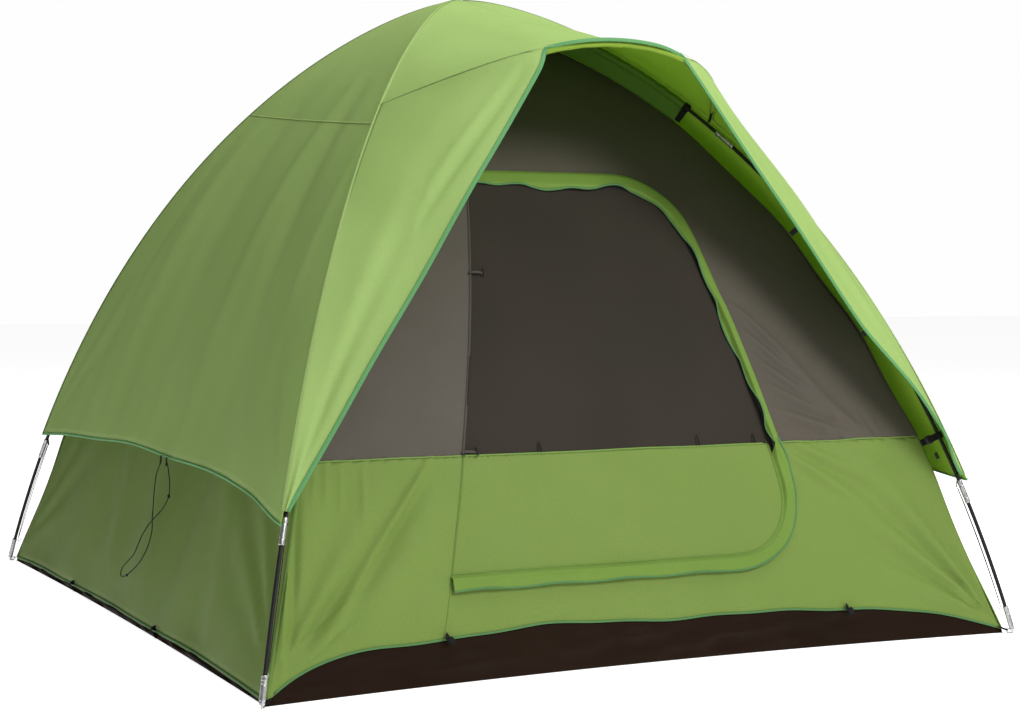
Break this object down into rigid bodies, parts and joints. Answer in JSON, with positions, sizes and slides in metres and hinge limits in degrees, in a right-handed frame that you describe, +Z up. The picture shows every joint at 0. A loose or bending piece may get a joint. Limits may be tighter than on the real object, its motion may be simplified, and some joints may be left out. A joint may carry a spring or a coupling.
{
  "type": "dome tent",
  "caption": "Free-standing dome tent on two crossed poles, with a brow pole visor over a D-shaped zip door and a rain fly on elastic corners.",
  "frame": {"origin": "on the ground, under the crossing of the main poles", "axes": "+Z up, the door faces -Y, +X to the right of someone facing the door"},
  "size_m": [2.3092, 2.6744, 1.911],
  "materials": {
    "fly_cloth": "coated woven polyester, soft sheen",
    "wall_cloth": "coated woven polyester",
    "upper_cloth": "breathable woven polyester, matt",
    "sleeve_cloth": "woven polyester, matt",
    "window_mesh": "fine insect mesh",
    "floor_cloth": "coated polyethylene sheet, dull gloss",
    "fibreglass": "drawn fibreglass rod",
    "steel": "zinc-plated",
    "black_plastic": "moulded",
    "cord": "braided"
  },
  "bodies": {
    "tent": {"main_pole_a_section_1": "fibreglass", "main_pole_a_section_2": "fibreglass", "main_pole_a_section_3": "fibreglass", "main_pole_a_section_4": "fibreglass", "main_pole_a_section_5": "fibreglass", "main_pole_a_section_6": "fibreglass", "main_pole_a_section_7": "fibreglass", "main_pole_a_section_8": "fibreglass", "main_pole_a_section_9": "fibreglass", "main_pole_b_section_1": "fibreglass", "main_pole_b_section_2": "fibreglass", "main_pole_b_section_3": "fibreglass", "main_pole_b_section_4": "fibreglass", "main_pole_b_section_5": "fibreglass", "main_pole_b_section_6": "fibreglass", "main_pole_b_section_7": "fibreglass", "main_pole_b_section_8": "fibreglass", "main_pole_b_section_9": "fibreglass", "brow_pole_section_1": "fibreglass", "brow_pole_section_2": "fibreglass", "brow_pole_section_3": "fibreglass", "floor_tub": "floor_cloth", "inner_wall_front": "upper_cloth", "inner_wall_back": "upper_cloth", "inner_wall_left": "upper_cloth", "inner_wall_right": "upper_cloth", "fly_left": "fly_cloth", "fly_right": "fly_cloth", "fly_back": "fly_cloth", "fly_front_visor": "fly_cloth", "pole_tip_front_left": "steel", "corner_pin_front_left": "steel", "pole_clip_front_left_1": "black_plastic", "pole_clip_front_left_2": "black_plastic", "pole_sleeve_front_left": "sleeve_cloth", "corner_bungee_front_left": "cord", "pole_tip_front_right": "steel", "corner_pin_front_right": "steel", "pole_clip_front_right_1": "black_plastic", "pole_clip_front_right_2": "black_plastic", "pole_sleeve_front_right": "sleeve_cloth", "corner_bungee_front_right": "cord", "pole_tip_back_left": "steel", "corner_pin_back_left": "steel", "pole_clip_back_left_1": "black_plastic", "pole_clip_back_left_2": "black_plastic", "pole_sleeve_back_left": "sleeve_cloth", "corner_bungee_back_left": "cord", "pole_tip_back_right": "steel", "corner_pin_back_right": "steel", "pole_clip_back_right_1": "black_plastic", "pole_clip_back_right_2": "black_plastic", "pole_sleeve_back_right": "sleeve_cloth", "corner_bungee_back_right": "cord", "guyline": "cord"},
    "door": {"door_lower_panel": "wall_cloth", "door_window_mesh": "window_mesh", "door_zip_flap": "wall_cloth"},
    "lower_slider": {"zip_slider_lower": "black_plastic"},
    "upper_slider": {"zip_slider_upper": "black_plastic"}
  },
  "joints": [
    {"name": "door_swing", "type": "hinge", "parent": "tent", "child": "door", "pos_m": [-0.6, -1.27484, 0.28042], "axis": [-0.2325, -0.4222, -0.8762], "range_deg": [0, 88]},
    {"name": "lower_zip_slide", "type": "slide", "parent": "tent", "child": "lower_slider", "axis": [1, 0, 0], "range_m": [0, 0.8]},
    {"name": "upper_zip_slide", "type": "slide", "parent": "tent", "child": "upper_slider", "axis": [-0.1709, 0.3958, 0.9023], "range_m": [0, 0.33]}
  ]
}
